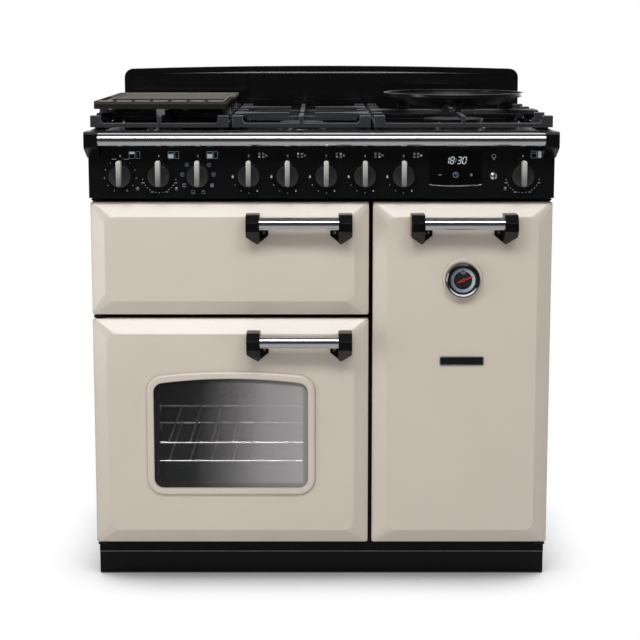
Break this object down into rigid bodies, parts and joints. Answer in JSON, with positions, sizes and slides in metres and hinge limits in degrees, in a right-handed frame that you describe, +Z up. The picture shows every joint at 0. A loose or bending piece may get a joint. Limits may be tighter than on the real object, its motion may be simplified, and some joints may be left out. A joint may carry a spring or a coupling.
{
  "type": "range cooker",
  "caption": "Free-standing range cooker with side-hung oven and grill doors, gas hob with cast pan supports, griddle plate, wok ring, front rail and low splashback.",
  "frame": {"origin": "on the floor, in the middle of the width and of the depth from rail front to rear", "axes": "+X to the right seen from the front, +Y to the rear, +Z up"},
  "size_m": [0.9, 0.648, 1.0069],
  "materials": {
    "cream_enamel": "gloss enamel",
    "black_enamel": "gloss enamel",
    "dark_sheet": "satin paint",
    "oven_enamel": "vitreous enamel",
    "cast_iron": "matt enamelled casting",
    "burner_alloy": "cast",
    "polished_steel": "polished",
    "black_casting": "gloss paint",
    "black_plastic": "moulded",
    "gauge": "polished",
    "needle": "gloss paint",
    "amber_lens": "clear",
    "window_glass": "tinted",
    "steel_wire": "nickel plate",
    "inner_steel": "plain",
    "seal_rubber": "matt"
  },
  "bodies": {
    "cabinet": {"casing_panels": "dark_sheet", "base_tray": "dark_sheet", "plinth": "black_enamel", "levelling_feet": "inner_steel", "front_frame": "dark_sheet", "door_seals": "seal_rubber", "hinge_brackets": "steel_wire", "grill_liner": "oven_enamel", "left_oven_liner": "oven_enamel", "right_oven_liner": "oven_enamel", "oven_shelves": "steel_wire", "fan_motors": "inner_steel", "fan_covers": "oven_enamel", "heating_elements": "inner_steel", "grill_pan": "oven_enamel", "control_panel": "black_enamel", "clock_module": "black_plastic", "indicator_lenses": "amber_lens", "switch_bodies": "black_plastic", "gas_manifold": "inner_steel", "front_rail": "polished_steel", "rail_brackets": "black_casting", "splashback": "black_enamel", "hob_tray": "black_enamel", "burner_bodies": "burner_alloy", "burner_caps": "cast_iron", "terminal_box": "black_plastic"},
    "grill_door": {"grill_door_panel": "cream_enamel", "grill_door_liner": "oven_enamel", "grill_door_handle_bar": "polished_steel", "grill_door_handle_brackets": "black_casting"},
    "oven_door": {"oven_door_panel": "cream_enamel", "oven_door_liner": "oven_enamel", "oven_door_glass": "window_glass", "oven_door_handle_bar": "polished_steel", "oven_door_handle_brackets": "black_casting"},
    "right_door": {"right_door_panel": "cream_enamel", "right_door_liner": "oven_enamel", "right_door_handle_bar": "polished_steel", "right_door_handle_brackets": "black_casting", "gauge_case": "gauge", "name_plate": "black_plastic"},
    "gauge_needle": {"gauge_needle": "needle"},
    "light_button": {"light_button": "polished_steel"},
    "left_fan": {"left_fan_impeller": "inner_steel"},
    "right_fan": {"right_fan_impeller": "inner_steel"},
    "pan_support_left": {"pan_support_left": "cast_iron"},
    "pan_support_centre": {"pan_support_centre": "cast_iron"},
    "pan_support_right": {"pan_support_right": "cast_iron"},
    "griddle": {"griddle_plate": "cast_iron"},
    "wok_ring": {"wok_ring": "cast_iron"},
    "grill_knob": {"grill_knob": "black_plastic"},
    "left_oven_temperature_knob": {"left_oven_temperature_knob": "black_plastic"},
    "left_oven_function_knob": {"left_oven_function_knob": "black_plastic"},
    "burner_knob_1": {"burner_knob_1": "black_plastic"},
    "burner_knob_2": {"burner_knob_2": "black_plastic"},
    "burner_knob_3": {"burner_knob_3": "black_plastic"},
    "burner_knob_4": {"burner_knob_4": "black_plastic"},
    "burner_knob_5": {"burner_knob_5": "black_plastic"},
    "right_oven_knob": {"right_oven_knob": "black_plastic"}
  },
  "joints": [
    {"name": "grill_door_hinge", "type": "hinge", "parent": "cabinet", "child": "grill_door", "pos_m": [-0.436, -0.251, 0.6475], "axis": [0, 0, -1], "range_deg": [0, 105]},
    {"name": "oven_door_hinge", "type": "hinge", "parent": "cabinet", "child": "oven_door", "pos_m": [-0.436, -0.251, 0.302], "axis": [0, 0, -1], "range_deg": [0, 105]},
    {"name": "right_door_hinge", "type": "hinge", "parent": "cabinet", "child": "right_door", "pos_m": [0.436, -0.251, 0.417], "axis": [0, 0, 1], "range_deg": [0, 105]},
    {"name": "gauge_needle_turn", "type": "hinge", "parent": "right_door", "child": "gauge_needle", "pos_m": [0.274, -0.287, 0.608], "axis": [0, 1, 0], "range_deg": [-204, 66]},
    {"name": "light_button_push", "type": "slide", "parent": "cabinet", "child": "light_button", "axis": [0, 1, 0], "range_m": [0, 0.002], "stiffness_N_per_m": 600},
    {"name": "left_fan_spin", "type": "hinge", "parent": "cabinet", "child": "left_fan", "pos_m": [-0.178, 0.15, 0.302], "axis": [0, 1, 0], "continuous": true},
    {"name": "right_fan_spin", "type": "hinge", "parent": "cabinet", "child": "right_fan", "pos_m": [0.274, 0.15, 0.417], "axis": [0, 1, 0], "continuous": true},
    {"name": "pan_support_left_lift", "type": "slide", "parent": "cabinet", "child": "pan_support_left", "axis": [0, 0, 1], "range_m": [0, 0.13]},
    {"name": "pan_support_centre_lift", "type": "slide", "parent": "cabinet", "child": "pan_support_centre", "axis": [0, 0, 1], "range_m": [0, 0.13]},
    {"name": "pan_support_right_lift", "type": "slide", "parent": "cabinet", "child": "pan_support_right", "axis": [0, 0, 1], "range_m": [0, 0.13]},
    {"name": "griddle_lift", "type": "slide", "parent": "pan_support_left", "child": "griddle", "axis": [0, 0, 1], "range_m": [0, 0.1]},
    {"name": "wok_ring_lift", "type": "slide", "parent": "pan_support_right", "child": "wok_ring", "axis": [0, 0, 1], "range_m": [0, 0.1]},
    {"name": "grill_knob_turn", "type": "hinge", "parent": "cabinet", "child": "grill_knob", "pos_m": [-0.387, -0.276, 0.81], "axis": [0, 1, 0], "range_deg": [-150, 150]},
    {"name": "left_oven_temperature_knob_turn", "type": "hinge", "parent": "cabinet", "child": "left_oven_temperature_knob", "pos_m": [-0.3123, -0.276, 0.81], "axis": [0, 1, 0], "range_deg": [0, 260]},
    {"name": "left_oven_function_knob_turn", "type": "hinge", "parent": "cabinet", "child": "left_oven_function_knob", "pos_m": [-0.2376, -0.276, 0.81], "axis": [0, 1, 0], "range_deg": [0, 315]},
    {"name": "burner_knob_1_turn", "type": "hinge", "parent": "cabinet", "child": "burner_knob_1", "pos_m": [-0.1396, -0.276, 0.81], "axis": [0, 1, 0], "range_deg": [-215, 0]},
    {"name": "burner_knob_2_turn", "type": "hinge", "parent": "cabinet", "child": "burner_knob_2", "pos_m": [-0.0652, -0.276, 0.81], "axis": [0, 1, 0], "range_deg": [-215, 0]},
    {"name": "burner_knob_3_turn", "type": "hinge", "parent": "cabinet", "child": "burner_knob_3", "pos_m": [0.0092, -0.276, 0.81], "axis": [0, 1, 0], "range_deg": [-215, 0]},
    {"name": "burner_knob_4_turn", "type": "hinge", "parent": "cabinet", "child": "burner_knob_4", "pos_m": [0.0836, -0.276, 0.81], "axis": [0, 1, 0], "range_deg": [-215, 0]},
    {"name": "burner_knob_5_turn", "type": "hinge", "parent": "cabinet", "child": "burner_knob_5", "pos_m": [0.158, -0.276, 0.81], "axis": [0, 1, 0], "range_deg": [-215, 0]},
    {"name": "right_oven_knob_turn", "type": "hinge", "parent": "cabinet", "child": "right_oven_knob", "pos_m": [0.387, -0.276, 0.81], "axis": [0, 1, 0], "range_deg": [0, 260]}
  ]
}
